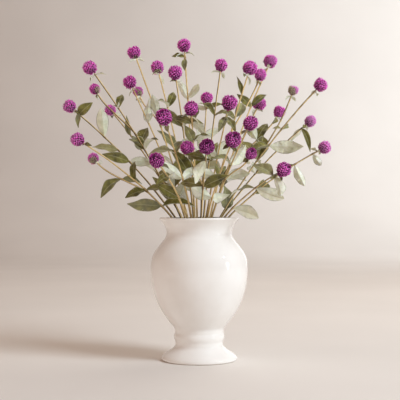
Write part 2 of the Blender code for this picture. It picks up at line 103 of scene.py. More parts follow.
def vase_outline():
    """Half outline as (radius, height): out along the underside, up the outside and down the inside."""
    under = [(1.0, RECESS), (BARE_RING_R[0] - 3.0, RECESS), (BARE_RING_R[0] - 0.8, RECESS - 0.7),
             (BARE_RING_R[0], 0.0), (BARE_RING_R[1], 0.0)]
    edge = arc((FOOT_R - FOOT_EDGE_Z, FOOT_EDGE_Z), FOOT_EDGE_Z, -75, 0, 8)
    rise = np.concatenate([np.linspace(FOOT_EDGE_Z, BEAD_Z0, 22)[1:], np.linspace(BEAD_Z0, BEAD_Z1, 15)[1:],
                           np.linspace(BEAD_Z1, WAIST_Z, 3)[1:], np.linspace(WAIST_Z, LIP_Z, 76)[1:]])
    roll = arc((LIP_R - LIP_ROLL * 0.7, LIP_Z + LIP_ROLL * 0.7), LIP_ROLL, -40, 175, 14)
    fall = np.linspace(LIP_Z - 2.5, INNER_FLOOR_Z + 8, 50)
    floor = [(INNER_FLOOR_R + 4.5, INNER_FLOOR_Z + 2.5), (INNER_FLOOR_R, INNER_FLOOR_Z + 0.4),
             (1.0, INNER_FLOOR_Z)]
    near = np.linspace(-1, 1, 9) * CORNER_R
    outside = np.stack([outer_radius(rise[:, None] + near).mean(axis=1), rise], axis=1)
    outside[:3, 0], outside[-3:, 0] = outer_radius(rise[:3]), outer_radius(rise[-3:])
    inside = np.stack([outer_radius(fall) - WALL, fall], axis=1)
    return np.concatenate([under, edge, outside, roll, inside, floor])


def turned_rings(outline, sides):
    """Rings of a turned body: each outline point carried round Z, a little out of round and uneven on top."""
    turn = np.arange(sides) * math.tau / sides
    radius = outline[:, :1] + WOBBLE * np.cos(2 * turn + 0.7) * (outline[:, :1] > BARE_RING_R[1])
    top = ease((outline[:, 1:] - NECK_Z) / (TOP_Z - NECK_Z))
    uneven = 0.6 * np.cos(3 * turn + 2.0) + 0.4 * np.cos(5 * turn + 0.4) + 0.25 * np.cos(8 * turn + 1.1)
    height = outline[:, 1:] + LIP_WOBBLE * uneven * top
    return np.stack([radius * np.cos(turn), radius * np.sin(turn), height], axis=-1)


def sleeve(rings):
    """Closed skin over rows of rings, for each of several alike pieces: (points, quads, triangles).

    rings has the shape (pieces, rows, around, 3). Quads join neighbouring rings, and a fan of triangles
    closes each end at the middle of its ring. A ring runs from side to upper, where side, upper and the
    way along the rows are a right-handed frame, so that the faces point out.
    """
    pieces, rows, around, _ = rings.shape
    count = rows * around
    ends = np.stack([rings[:, 0].mean(axis=1), rings[:, -1].mean(axis=1)], axis=1)
    points = np.concatenate([rings.reshape(pieces, count, 3), ends], axis=1)
    at = np.arange(count).reshape(rows, around)
    after = np.roll(at, -1, axis=1)
    quads = np.stack([at[:-1], after[:-1], after[1:], at[1:]], axis=-1).reshape(-1, 4)
    first = np.stack([after[0], at[0], np.full(around, count)], axis=-1)
    last = np.stack([at[-1], after[-1], np.full(around, count + 1)], axis=-1)
    shift = (np.arange(pieces) * (count + 2))[:, None, None]
    fans = np.concatenate([first, last])
    return points.reshape(-1, 3), (quads + shift).reshape(-1, 4), (fans + shift).reshape(-1, 3)


def on_sleeve(values):
    """Values of the rings' points in a sleeve's order, where an end point has its ring's mean."""
    pieces, rows, around, width = values.shape
    ends = np.stack([values[:, 0].mean(axis=1), values[:, -1].mean(axis=1)], axis=1)
    return np.concatenate([values.reshape(pieces, rows * around, width), ends], axis=1).reshape(-1, width)


def add_piece(name, shapes, material, node, marks, sharp=180.0):
    """Smooth piece from a list of sleeves in millimetres, on the one body, in place of a node.

    marks are point attributes by name, each an array with three values a point.
    """
    points, faces, start = [], [], 0
    for corners, quads, triangles in shapes:
        points.append(corners)
        faces += (quads + start).tolist() + (triangles + start).tolist()
        start += len(corners)
    mesh = bpy.data.meshes.new(name)
    mesh.from_pydata((np.concatenate(points) * MM).tolist(), [], faces)
    mesh.materials.append(material)
    for mark, values in marks.items():
        kept = mesh.attributes.new(mark, "FLOAT_VECTOR", "POINT")
        kept.data.foreach_set("vector", values.astype(np.float32).ravel())
    mesh.shade_smooth()
    if sharp < 180.0:
        mesh.set_sharp_from_angle(angle=math.radians(sharp))
    piece = bpy.data.objects.new(name, mesh)
    bpy.context.scene.collection.objects.link(piece)
    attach(piece, "root")
    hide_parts(node)


def srgb(text):
    """Linear red, green and blue, and 1, from a hex colour, by the sRGB curve."""
    parts = [int(text[n:n + 2], 16) / 255 for n in (1, 3, 5)]
    return (*[c / 12.92 if c <= 0.04045 else ((c + 0.055) / 1.055) ** 2.4 for c in parts], 1.0)


def new_material(name, values):
    """Principled material with plain values set on its shader's sockets."""
    material = bpy.data.materials.new(name)
    material.use_nodes = True
    shader = material.node_tree.nodes["Principled BSDF"]
    for socket, value in values.items():
        shader.inputs[socket].default_value = value
    return material


def add_node(material, kind, inputs=None, stops=(), **settings):
    """Adds a node with its settings. An input takes a value, or a link where it is given an output."""
    node = material.node_tree.nodes.new(kind)
    for name, value in settings.items():
        setattr(node, name, value)
    for name, value in (inputs or {}).items():
        if isinstance(value, bpy.types.NodeSocket):
            material.node_tree.links.new(value, node.inputs[name])
        else:
            node.inputs[name].default_value = value
    for n, (place, colour) in enumerate(stops):
        stop = node.color_ramp.elements[n] if n < 2 else node.color_ramp.elements.new(place)
        stop.position, stop.color = place, srgb(colour)
    return node


def read_mark(material, name):
    """The three values of a point attribute, as the outputs X, Y and Z."""
    mark = add_node(material, "ShaderNodeAttribute", attribute_name=name).outputs["Vector"]
    return add_node(material, "ShaderNodeSeparateXYZ", {"Vector": mark}).outputs


def noise(material, place, size, detail):
    """Noise from 0 to 1, with swells of a size in millimetres."""
    return add_node(material, "ShaderNodeTexNoise", {"Vector": place, "Scale": 1 / (size * MM),
                                                     "Detail": detail}).outputs["Fac"]


def ramp(material, value, *stops):
    """Colour that passes through the stops as a value goes from 0 to 1."""
    return add_node(material, "ShaderNodeValToRGB", {"Fac": value}, stops=stops).outputs["Color"]


def mapped(material, value, low, high, to_low, to_high):
    """Value carried evenly from one range to another, and held at its ends."""
    ends = {"From Min": low, "From Max": high, "To Min": to_low, "To Max": to_high}
    return add_node(material, "ShaderNodeMapRange", {"Value": value, **ends}).outputs["Result"]


def mixed(material, share, first, second):
    """Colour between two, at a share of the way to the second, which may be a hex colour."""
    second = srgb(second) if isinstance(second, str) else second
    return add_node(material, "ShaderNodeMix", {0: share, 6: first, 7: second}, data_type="RGBA").outputs[2]


def relief(material, height, depth, base=None):
    """Normal of a relief whose height is a value times a depth in millimetres, over another relief."""
    inputs = {"Height": height, "Strength": 1.0, "Distance": depth * MM}
    if base:
        inputs["Normal"] = base
    return add_node(material, "ShaderNodeBump", inputs).outputs["Normal"]


def drive(material, **sockets):
    """Links outputs to the shader's own sockets, named with _ for a space."""
    shader = material.node_tree.nodes["Principled BSDF"]
    for name, output in sockets.items():
        material.node_tree.links.new(output, shader.inputs[name.replace("_", " ")])


# White tin glaze over earthenware: a glassy coat that shows a soft ripple in its reflections, with the
# bare biscuit ring under the foot, whose warm colour on the foot's bottom edge is also a painted
# reflection of the warm floor. The inside is painted a dull grey-brown: painted shade for the dim inside
# of the vase.
glaze = new_material("tin_glazed_earthenware", {"IOR": 1.5, "Coat Weight": 0.4, "Coat Roughness": 0.04})
here = add_node(glaze, "ShaderNodeTexCoord").outputs["Object"]
cloud = noise(glaze, here, 38, 3.0)
milk = ramp(glaze, cloud, (0.30, "#efece8"), (0.72, "#f4f2ef"))
height = add_node(glaze, "ShaderNodeSeparateXYZ", {"Vector": here}).outputs["Z"]
# The bare ring under the foot, reaching up over the foot's bottom edge: its warm colour there is also a
# painted reflection of the warm floor.
bare_ring_and_floor_glow = mapped(glaze, height, 0.5 * MM, 1.0 * MM, 1.0, 0.0)
body = mixed(glaze, bare_ring_and_floor_glow, milk, "#d9c7b4")
# Painted shade: the inside of the vase is darkened to grey-brown, for the dim light within its mouth.
inside_shaded = mixed(glaze, read_mark(glaze, "inner")["X"], body, "#6a6258")
gloss = mapped(glaze, cloud, 0.3, 0.7, 0.10, 0.17)
matt = add_node(glaze, "ShaderNodeMix", {0: bare_ring_and_floor_glow, 2: gloss, 3: 0.85}).outputs[0]
ripple = relief(glaze, noise(glaze, here, 22, 1.0), 0.35)
peel = relief(glaze, noise(glaze, here, 2.2, 1.0), 0.008, ripple)
drive(glaze, Base_Color=inside_shaded, Roughness=matt, Normal=peel)

outline = vase_outline()
inner = np.where(np.arange(len(outline)) > outline[:, 1].argmax() + 2, 1.0, 0.0)
inner = np.repeat(inner[:, None], VASE_SIDES, axis=1)[None, ..., None] * (1.0, 0.0, 0.0)
add_piece("glazed_vase", [sleeve(turned_rings(outline, VASE_SIDES)[None])], glaze, "vase",
          {"inner": on_sleeve(inner)}, sharp=38.0)

# The stems: dried, slender, a little angular shoots, swollen at each joint, where leaves and side
# branches leave them in pairs. They stand loose in the vase and lean on its lip. Each main stem runs in
# the upright plane of its head, so no two cross.
MOUTH_SLOT_R = 44.0          # furthest a stem stands from the axis at the mouth
SLOT_LEAN, SLOT_POWER = 1.3, 0.65   # lean of a head that gives the furthest slot, and how slots grow
SLOT_DEPTH = 40.0            # depth below the mouth of the point that the heads' leans are taken from
FLOOR_SHARE = 0.68           # foot's distance from the axis, as a share of that at the mouth
LEAST_BOW = 1.6              # least power by which that distance grows with the height in the vase
MOUTH_LEAN, END_LEAN = 0.8, 1.15    # a stem's lean at the mouth and at its head, as shares of its chord's
FORK_ALONG, FORK_UP = 0.3, 0.35     # how a side branch leaves along its stem, and turns up at its end
STEM_BASE_R, STEM_TIP_R = 1.45, 1.0
STEM_OFF = np.array((0.31, 0.94, 0.12))   # no stem runs along this direction, which turns its ribs
STEPS_IN_VASE, STEPS_ABOVE, STEPS_FORK = 3, 7, 4   # the frame's steps, which leaves' places count in
GAP = 0.3                    # left between a stem and what it stands on or carries
SCALE_DEPTH = 0.13           # depth of the valleys of a head, as a share of its radius
HEAD_STRETCH = 1.04          # height of a head, as a share of its width

FINE_STEP = 2.6              # length between two rings of a stem
STEM_SIDES = 12
RIB = 0.12                   # height of the four ribs, as a share of the radius
RIBS = 4
RIB_TWIST = 0.004            # turn of the ribs along a stem, in radians a millimetre
JOINT_SWELL, JOINT_LENGTH = 0.42, 2.6
FORK_SWELL, FORK_LENGTH = 0.62, 4.0
WANDER = 0.4                 # how far a stem strays from its smooth curve
LIT_SIDE_TURN = 2.4          # direction round a stem, in radians, of the side painted as lit; the far side is painted as shaded

STEM_SEED = 5
TONE = (-0.3, 0.25)          # a stem's tone: the further below 0, the less of it is still straw
# Stems whose tone is known
WEATHERED = {17: -0.4, 25: -0.35, 27: -0.4, 33: -0.35, 23: -0.3}

# Heads: number, middle x, y, z and diameter
HEADS = {
    1: (-22, -10, 459, 21.0), 2: (-100, 70, 460, 21.0), 3: (-160, 0, 428, 22.0),
    4: (-65, 90, 440, 22.5), 5: (-157, 40, 401, 17.5), 6: (-104, 30, 410, 21.0),
    7: (-97, 130, 406, 18.0), 8: (-34, -60, 413, 21.5), 9: (-188, -15, 370, 20.0),
    10: (-140, 115, 376, 18.5), 11: (-173, -45, 320, 21.0), 12: (-158, 25, 296, 18.0),
    13: (34, 95, 444, 21.5), 14: (73, -30, 424, 22.5), 15: (110, 80, 448, 22.0),
    16: (91, 20, 420, 18.0), 17: (179, 10, 404, 21.0), 18: (144, 70, 402, 17.0),
    19: (12, 120, 395, 21.0), 20: (42, -75, 369, 23.0), 21: (-11, -90, 360, 21.0),
    22: (-47, -135, 344, 23.5), 23: (95, 115, 386, 22.0), 24: (128, 140, 375, 20.0),
    25: (173, 95, 357, 19.5), 26: (71, -85, 340, 22.0), 27: (186, 20, 312, 20.5),
    28: (45, -140, 314, 23.0), 29: (-16, -105, 305, 20.0), 30: (10, -150, 304, 22.0),
    31: (-57, -125, 287, 22.0), 32: (70, -115, 296, 17.0), 33: (117, -80, 276, 22.0),
}
# A head on a side branch: the head whose stem it forks from, and the fork's share of that stem's length
FORKS = {5: (3, 0.56), 7: (2, 0.56), 12: (11, 0.33), 16: (14, 0.56),
         18: (17, 0.44), 24: (23, 0.44), 29: (30, 0.44), 32: (26, 0.44)}

# Leaves: head's number, share of its stem above the mouth, direction in plan, lift, length, width, which
# side looks to the viewer (1 the upper, -1 the lower, 0 as it grew), and 1 for an opposite leaf
LEAVES = (
    (9, 0.73, 255, 64, 46, 18, -1, 0), (9, 0.96, 330, 35, 28, 16, 1, 0), (9, 0.97, 284, -62, 24, 8, 1, 0),
    (9, 0.60, 198, 5, 40, 14, 1, 0), (9, 0.49, 202, 18, 42, 16, 1, 1), (10, 0.76, 245, 60, 32, 9, 1, 0),
    (12, 0.50, 200, -36, 42, 17, 1, 1), (11, 0.33, 200, -20, 34, 14, 1, 1),
    (11, 0.13, 190, 4, 52, 19, 1, 1), (11, 0.45, 105, 62, 36, 12, 1, 0), (6, 0.72, 95, 62, 44, 13, -1, 1),
    (2, 0.61, 240, 56, 42, 13, -1, 1), (8, 0.66, 150, 38, 50, 15, 1, 1), (10, 0.62, 62, 58, 42, 19, 1, 1),
    (1, 0.72, 136, 52, 42, 12, -1, 1), (10, 0.12, 210, 50, 50, 19, 1, 0),
    (3, 0.08, 315, 56, 44, 18, -1, 0), (6, 0.22, 65, 58, 62, 22, 1, 1), (21, 0.92, 50, 54, 32, 13, 1, 1),
    (19, 0.95, 330, 15, 28, 9, 1, 1), (20, 0.94, 232, -52, 28, 11, 1, 0),
    (20, 0.94, 308, -55, 28, 11, 1, 0), (14, 0.70, 40, 45, 32, 15, 1, 1),
    (20, 0.56, 215, 46, 54, 20, -1, 1), (21, 0.74, 215, 48, 30, 14, 1, 1),
    (30, 0.88, 200, 10, 30, 12, 1, 0), (30, 0.86, 225, -55, 42, 17, -1, 0),
    (13, 0.36, 50, 55, 36, 15, 1, 1), (26, 0.59, 38, 47, 42, 18, -1, 1), (24, 0.55, 45, 50, 38, 19, 1, 1),
    (17, 0.42, 40, 54, 50, 21, 1, 1), (17, 0.54, 345, -3, 52, 20, -1, 1), (17, 0.67, 30, 22, 22, 7, 1, 1),
    (33, 0.93, 205, 26, 36, 16, 1, 0), (27, 0.75, 310, -56, 38, 14, -1, 1),
    (25, 0.95, 308, -55, 40, 10, 1, 1), (27, 0.94, 315, -50, 26, 11, -1, 0),
    (33, 0.62, 335, -22, 50, 19, -1, 1), (33, 0.18, 335, -16, 46, 19, -1, 0),
    (33, 0.93, 312, -54, 38, 15, -1, 0), (25, 0.07, 255, 64, 38, 22, 1, 0),
    (28, 0.25, 205, 24, 38, 19, -1, 1), (23, 0.23, 66, 58, 40, 18, 1, 1),
    (26, 0.42, 340, 20, 40, 16, -1, 0), (31, 0.35, 200, 30, 40, 17, 1, 1),
    (22, 0.40, 190, 40, 46, 18, -1, 1), (22, 0.68, 20, 35, 40, 15, 1, 1),
    (28, 0.52, 15, 30, 44, 17, 1, 1), (4, 0.45, 170, 45, 44, 17, 1, 1), (4, 0.75, 60, 50, 36, 13, 1, 1),
    (13, 0.68, 150, 45, 36, 13, 1, 1), (15, 0.42, 100, 40, 44, 17, 1, 1),
    (15, 0.72, 20, 40, 36, 13, 1, 1), (19, 0.40, 110, 30, 50, 19, 0, 1),
    (19, 0.70, 200, 40, 36, 15, 0, 1), (3, 0.45, 130, 30, 46, 18, 0, 1), (3, 0.75, 80, 40, 32, 12, 1, 1),
    (2, 0.30, 160, 30, 48, 18, 0, 1), (10, 0.38, 150, 20, 48, 18, 0, 1),
    (23, 0.60, 120, 30, 44, 17, 0, 1), (25, 0.42, 75, 25, 50, 19, 0, 1), (27, 0.30, 60, 20, 48, 18, 0, 0),
    (31, 0.75, 240, -20, 30, 13, 1, 1), (30, 0.45, 340, 20, 40, 17, 1, 1),
    (15, 0.18, 60, 25, 46, 18, 0, 0), (19, 0.15, 130, 20, 44, 18, 0, 0), (14, 0.86, 125, 66, 30, 9, 1, 0),
    (8, 0.30, 200, 55, 50, 19, 1, 1), (1, 0.97, 188, 8, 20, 9, 1, 0), (1, 0.96, 262, -70, 18, 9, 1, 0),
)


def unit(vectors):
    """Vectors scaled to a length of 1."""
    return vectors / np.linalg.norm(vectors, axis=-1, keepdims=True)


def curve(start, start_way, end, end_way, share):
    """Cubic curve between two points that leaves and arrives along the given directions, at shares of it."""
    reach = np.linalg.norm(end - start) / 3.0
    share = share[:, None]
    rest = 1.0 - share
    return (rest ** 3 * start + 3 * rest ** 2 * share * (start + start_way * reach)
            + 3 * rest * share ** 2 * (end - end_way * reach) + share ** 3 * end)


def leaning(outward, angle):
    """Direction that leans from upright by an angle, towards a horizontal direction."""
    return outward * math.sin(angle) + UP * math.cos(angle)


def stem_end(middle, way, diameter):
    """Top of the stem, just under the hollow in the bottom of its head."""
    return middle - way * (diameter / 2.0 * (1.0 - SCALE_DEPTH) * HEAD_STRETCH + GAP)


def stem_path(number, steps_in_vase, steps_above):
    """Axis of a main stem: the part in the vase, the part above the mouth, and the end's direction.

    In the vase its distance from the axis grows by a power of its height, and above the mouth it is a
    cubic curve to the head.
    """
    x, y, z, diameter = HEADS[number]
    middle = np.array((x, y, z), float)
    spread = math.hypot(x, y)
    outward = np.array((x, y, 0.0)) / spread
    rise = z - TOP_Z
    slot = MOUTH_SLOT_R * min(1.0, spread / (rise + SLOT_DEPTH) / SLOT_LEAN) ** SLOT_POWER
    lean = math.atan2(spread - slot, rise)
    foot = slot * FLOOR_SHARE
    end_way = leaning(outward, lean * END_LEAN)
    above = curve(outward * slot + UP * TOP_Z, leaning(outward, lean * MOUTH_LEAN),
                  stem_end(middle, end_way, diameter), end_way, np.linspace(0, 1, steps_above + 1))
    floor_z = INNER_FLOOR_Z + GAP
    share = np.linspace(0.0, 1.0, steps_in_vase + 1)[:-1, None]
    power = max(LEAST_BOW, math.tan(lean * MOUTH_LEAN) * (TOP_Z - floor_z) / (slot - foot))
    radius = foot + (slot - foot) * share ** power
    return outward * radius + UP * (floor_z + share * (TOP_Z - floor_z)), above, end_way


def fork_path(number, above, steps):
    """Axis of a side branch, from a joint of the main stem to its own head, and the end's direction."""
    place = round(FORKS[number][1] * STEPS_ABOVE)
    x, y, z, diameter = HEADS[number]
    middle = np.array((x, y, z), float)
    chord = unit(middle - above[place])
    along = unit(above[place + 1] - above[place - 1])
    end_way = unit(chord + UP * FORK_UP)
    path = curve(above[place], unit(chord + along * FORK_ALONG), stem_end(middle, end_way, diameter),
                 end_way, np.linspace(0, 1, steps + 1))
    return path, end_way


def swelling(number, place):
    """Swelling of a stem at places along it, as a share of its radius: a bell curve at each joint."""
    shares = sorted({row[1] for row in LEAVES if row[0] == number})
    forks = [share for owner, share in FORKS.values() if owner == number]
    length = place[-1]
    total = np.zeros(len(place))
    for share in shares:
        total += JOINT_SWELL * np.exp(-((place - share * length) / JOINT_LENGTH) ** 2)
    for share in forks:
        total += FORK_SWELL * np.exp(-((place - share * length) / FORK_LENGTH) ** 2)
    return np.minimum(total, FORK_SWELL)


def shoot(path, radii, swell, chance, tone):
    """Ribbed tube round a path: rings square to it, and the marks that its material reads.

    The path strays a little by three sines of its length. A ring's radius is the stem's, with the
    swelling at the joints, and a cosine of four times the angle for the ribs, which turn slowly. The
    marks are the rib's height, the nearness of a joint and how far that side is painted as lit (painted
    light and shade), and the straightened stem.
    """
    run = np.concatenate([[0.0], np.cumsum(np.linalg.norm(np.diff(path, axis=0), axis=1))])
    along = unit(np.gradient(path, axis=0))
    side = unit(np.cross(along, STEM_OFF))
    other = np.cross(along, side)
    hold = np.sqrt(np.sin(np.pi * run / run[-1]).clip(0, 1))
    sway = [sum(np.sin(run / wide + chance.uniform(0, math.tau)) for wide in (9.0, 17.0, 31.0)) / 3
            for _ in range(2)]
    path = path + WANDER * hold[:, None] * (side * sway[0][:, None] + other * sway[1][:, None])
    turn = np.arange(STEM_SIDES) * math.tau / STEM_SIDES
    rib = np.cos(RIBS * turn)
    radius = (radii * (1 + swell))[:, None] * (1 + RIB * rib)
    angle = turn + RIB_TWIST * run[:, None]
    rings = (path[:, None] + side[:, None] * (np.cos(angle) * radius)[..., None]
             + other[:, None] * (np.sin(angle) * radius)[..., None])
    ones = np.ones((len(path), STEM_SIDES))
    # Painted light and shade: how lit this side is painted, by a cosine round the stem, moved by its tone.
    painted_lit = 0.5 + 0.5 * np.cos(angle - LIT_SIDE_TURN - chance.uniform(-0.7, 0.7)) + tone
    bark = np.stack([ones * (rib * 0.5 + 0.5), ones * (swell / FORK_SWELL)[:, None], painted_lit], axis=-1)
    grain = np.stack([np.cos(turn) * radius, np.sin(turn) * radius, ones * run[:, None]], axis=-1)
    return sleeve(rings[None]), on_sleeve(bark[None]), on_sleeve(grain[None] * MM)


def scaled_sum(material, value, times, plus):
    """A value times a number, plus another value."""
    return add_node(material, "ShaderNodeMath", {0: value, 1: times, 2: plus},
                    operation="MULTIPLY_ADD").outputs["Value"]


# Dried stalk: straw-coloured skin with a silky sheen over the ribs, brown in the furrows and at the
# joints, with fine fibres that run lengthwise. Each stem is painted straw on one side and brown on the
# other: painted light and shade.
stalk = new_material("dried_stalk", {"Roughness": 0.6, "Sheen Weight": 0.25, "Sheen Roughness": 0.4})
bark = read_mark(stalk, "bark")
grain = add_node(stalk, "ShaderNodeAttribute", attribute_name="grain").outputs["Vector"]
stretched = add_node(stalk, "ShaderNodeMapping", {"Vector": grain, "Scale": (1, 1, 0.08)}).outputs["Vector"]
fibre = noise(stalk, stretched, 0.5, 3.0)
straw = ramp(stalk, fibre, (0.32, "#cfa95f"), (0.66, "#ffe8ae"))
brown = ramp(stalk, fibre, (0.32, "#3a2b0e"), (0.66, "#6c5728"))
# Painted light and shade: straw where the stem is painted as lit, brown where it is painted as shaded.
painted_lit = scaled_sum(stalk, noise(stalk, grain, 14, 2.0), 0.5, bark["Z"])
lit_and_shaded = mixed(stalk, mapped(stalk, painted_lit, 0.60, 0.90, 0.0, 1.0), brown, straw)
furrowed = mixed(stalk, mapped(stalk, bark["X"], 0.2, 0.8, 0.35, 0.0), lit_and_shaded, "#5a4325")
knotted = mixed(stalk, mapped(stalk, bark["Y"], 0.25, 0.75, 0.0, 0.55), furrowed, "#4f3a22")
drive(stalk, Base_Color=knotted, Normal=relief(stalk, fibre, 0.12))

chance = random.Random(STEM_SEED)
axes, forked = {}, {}
for number in HEADS:
    if number not in FORKS:
        inside, above, end_way = stem_path(number, STEPS_IN_VASE, STEPS_ABOVE)
        axes[number] = (above, end_way)
for number, (owner, _) in FORKS.items():
    axes[number] = fork_path(number, axes[owner][0], STEPS_FORK)
    forked.setdefault(owner, []).append(number)

for number in HEADS:
    if number in FORKS:
        continue
    length = np.linalg.norm(np.diff(axes[number][0], axis=0), axis=1).sum()
    steps = round(length / FINE_STEP)
    steps_in_vase = round((TOP_Z - INNER_FLOOR_Z) / FINE_STEP / 2)
    inside, above, _ = stem_path(number, steps_in_vase, steps)
    run = np.concatenate([[0.0], np.cumsum(np.linalg.norm(np.diff(above, axis=0), axis=1))])
    swell = np.concatenate([np.zeros(steps_in_vase), swelling(number, run)])
    place = np.concatenate([np.linspace(0, STEPS_IN_VASE, steps_in_vase, endpoint=False),
                            np.linspace(STEPS_IN_VASE, STEPS_IN_VASE + STEPS_ABOVE, steps + 1)])
    radii = STEM_BASE_R + (STEM_TIP_R - STEM_BASE_R) * place / place[-1]
    tone = WEATHERED.get(number, chance.uniform(*TONE))
    made = [shoot(np.vstack((inside, above)), radii, swell, chance, tone)]
    for branch in forked.get(number, []):
        length = np.linalg.norm(np.diff(axes[branch][0], axis=0), axis=1).sum()
        path, _ = fork_path(branch, axes[number][0], round(length / FINE_STEP))
        run = np.concatenate([[0.0], np.cumsum(np.linalg.norm(np.diff(path, axis=0), axis=1))])
        radii = np.full(len(path), STEM_TIP_R)
        made.append(shoot(path, radii, swelling(branch, run), chance, tone))
    add_piece(f"stem_{number:02d}", [shape for shape, _, _ in made], stalk,
              f"leafy_stem_{number:02d}",
              {"bark": np.concatenate([bark for _, bark, _ in made]),
               "grain": np.concatenate([grain for _, _, grain in made])})

# The leaves: simple, elliptic blades on short stalks, in opposite pairs at the joints, with a pair of
# small leafy bracts under each head. They are dried, so they have folded along the midrib, arched and
# rolled, and each is as thin as paper. The upper side is olive, the lower a pale, downy sage.
LEAF_ROLL = 22.0             # most that a leaf is twisted about its midrib
VIEWER = np.array((0.0, -1.0, 0.2))
LOOK_UP = 0.3                # share of the stem's direction in that of a leaf that looks to the viewer
# Turns and lifts that the frame's leaves were tried with, and sizes
BENDS = [(turn, lift) for lift in (0, 14, -14, 28, -28)
         for turn in (0, 15, -15, 30, -30, 48, -48, 70, -70)]
SHRINKS = (1.0, 0.82, 0.66)
# Opposite leaves: how far they stray from the far side, and their size against the first leaf
MATE_TURN, MATE_LIFT, MATE_SIZE = 20.0, 15.0, (0.75, 1.0)
LOWEST_LIFT = -40.0
BRACT_LENGTH, BRACT_WIDTH, BRACT_LIFT = (10.0, 17.0), (5.0, 8.0), (-60.0, 10.0)
BRACT_DROP = 2.2             # distance of the leafy bracts below the stem's end
SEED = 33
TIP_NEAR = 0.05              # a leaf of the frame is known by its tip, to this distance

LEAF_ROWS = 26
LEAF_COLUMNS = np.array((1.0, 0.86, 0.62, 0.36, 0.12, 0.0, -0.12, -0.36, -0.62, -0.86, -1.0))
PETIOLE_HALF = 0.95          # half width of the leaf stalk
BLADE_THICK, RIDGE_THICK = 0.32, 0.65
ROOT_THICK = 1.1             # what the leaf stalk is thicker than the blade, where it leaves the stem
RIDGE_HALF = 0.55            # half width of the ridge that the midrib makes on the lower side
LEAF_ARCH = 0.10             # height of the midrib's arch, as a share of the leaf's length
VEIN_PAIRS = 7
QUILT = 0.26                 # height of the swells between the side veins
# Drawn for each leaf: the rise of its halves above the midrib as a share of their width, the height of
# the waves along its edges as a share of half its width and their number, the turn of its tip about the
# midrib, and how far the tip bends down and lies to one side, as shares of its length
FOLD, WAVE, WAVES = (0.18, 0.85), (0.10, 0.30), (1.0, 2.2)
TWIST, CURL, SWEEP = (-50, 50), (-0.08, 0.24), (-0.05, 0.05)


def leaf_blades(root, along, across, upper, length, width, chance):
    """Rings round the blades of several leaves, and the places on the leaf that its material reads.

    A ring runs over the upper face from one edge to the other and back under the lower one. The half
    width is a power of the sine of the share of the length, drawn in to a point, on a narrow stalk. Each
    half rises from the midrib, which is a parabola that curls down by a cube at the tip, and the blade
    sweeps by a square, twists evenly, waves along its edges and swells between its side veins.
    """
    def spread(low, high):
        return chance.uniform(low, high, len(root))[:, None, None]

    u = np.concatenate([LEAF_COLUMNS, LEAF_COLUMNS[-2:0:-1]])[None, None, :]
    side = np.concatenate([[0.0], np.ones(len(LEAF_COLUMNS) - 2), [0.0], -np.ones(len(LEAF_COLUMNS) - 2)])
    t = np.linspace(0, 1, LEAF_ROWS)
    v = ((0.7 * t + 0.3 * ease(t)) * 0.988)[None, :, None]
    long, half = length[:, None, None], width[:, None, None] / 2
    s = np.clip((v - 0.05) / 0.95, 0, 1)
    outline = np.sin(np.pi * s ** 0.85).clip(0) ** 0.8 * (1 - 0.35 * s ** 6)
    stalk_half = PETIOLE_HALF * (1 - ease(v / 0.3))
    reach = half * outline + stalk_half
    fold = spread(*FOLD) * (np.sqrt(u * u + 0.012) - 0.11)
    wave = spread(*WAVE) * half * np.sin(math.tau * (spread(*WAVES) * v + spread(0, 1)
                                                     + np.where(u > 0, spread(0.1, 0.6), 0)))
    quilt = QUILT * np.cos(math.tau * VEIN_PAIRS * (v - np.abs(u) * half / long * 0.9))
    lateral = reach * u
    rise = reach * fold + (wave * u * u + quilt * np.abs(u) * (1 - u * u) * 2) * np.sin(np.pi * v)
    thick = BLADE_THICK * (1 - u ** 6) + ROOT_THICK * (1 - ease(v / 0.10)) * (1 - u * u)
    ridge = RIDGE_THICK * np.exp(-(reach * u / RIDGE_HALF) ** 2) * (1 - 0.8 * v) * (1 - np.abs(u))
    rise = rise + np.where(side > 0, thick / 2, 0) - np.where(side < 0, thick / 2 + ridge, 0)
    twist = np.radians(spread(*TWIST)) * v ** 1.5
    lateral, rise = (lateral * np.cos(twist) - rise * np.sin(twist),
                     lateral * np.sin(twist) + rise * np.cos(twist))
    rise = rise + long * (LEAF_ARCH * 4 * v * (1 - v) - spread(*CURL) * v ** 3)
    lateral = lateral + long * spread(*SWEEP) * v ** 2
    forward = long * v
    rings = (root[:, None, None] + along[:, None, None] * forward[..., None]
             + across[:, None, None] * lateral[..., None] + upper[:, None, None] * rise[..., None])
    ones = np.ones(rings.shape[:3])
    leaf = np.stack([ones * u, ones * v, ones * (side * 0.5 + 0.5)], axis=-1)
    mood = np.stack([ones * spread(0, 1), ones * spread(0, 1), ones * spread(0, 1)], axis=-1)
    return sleeve(rings), on_sleeve(leaf), on_sleeve(mood)


def leaf_frame(look, turn, lift, roll):
    """Directions along a leaf, across it, and out of its upper face, which is turned to a direction."""
    turn, lift = math.radians(turn), math.radians(lift)
    along = np.array((math.cos(turn) * math.cos(lift), math.sin(turn) * math.cos(lift), math.sin(lift)))
    across = unit(np.cross(look, along))
    upper = np.cross(along, across)
    cos, sin = math.cos(math.radians(roll)), math.sin(math.radians(roll))
    return along, across * cos + upper * sin, upper * cos - across * sin


def found_leaf(owner, root, turn, lift, length):
    """The bend and the size that a leaf has in the frame: the first whose tip is a corner of its stem.

    A tip lies at the root plus the leaf's direction times its length, for every bend and shrink tried.
    """
    tries = np.array([(turn + more, lift + rise, shrink) for shrink in SHRINKS for more, rise in BENDS])
    plan, up = np.radians(tries[:, 0]), np.radians(tries[:, 1])
    way = np.stack([np.cos(plan) * np.cos(up), np.sin(plan) * np.cos(up), np.sin(up)], axis=1)
    tips = root + way * (length * tries[:, 2:])
    gaps = np.linalg.norm(tips[:, None] - corners[owner][None], axis=2).min(axis=1)
    found = np.flatnonzero(gaps < TIP_NEAR)
    return tries[found[0]] if len(found) else None


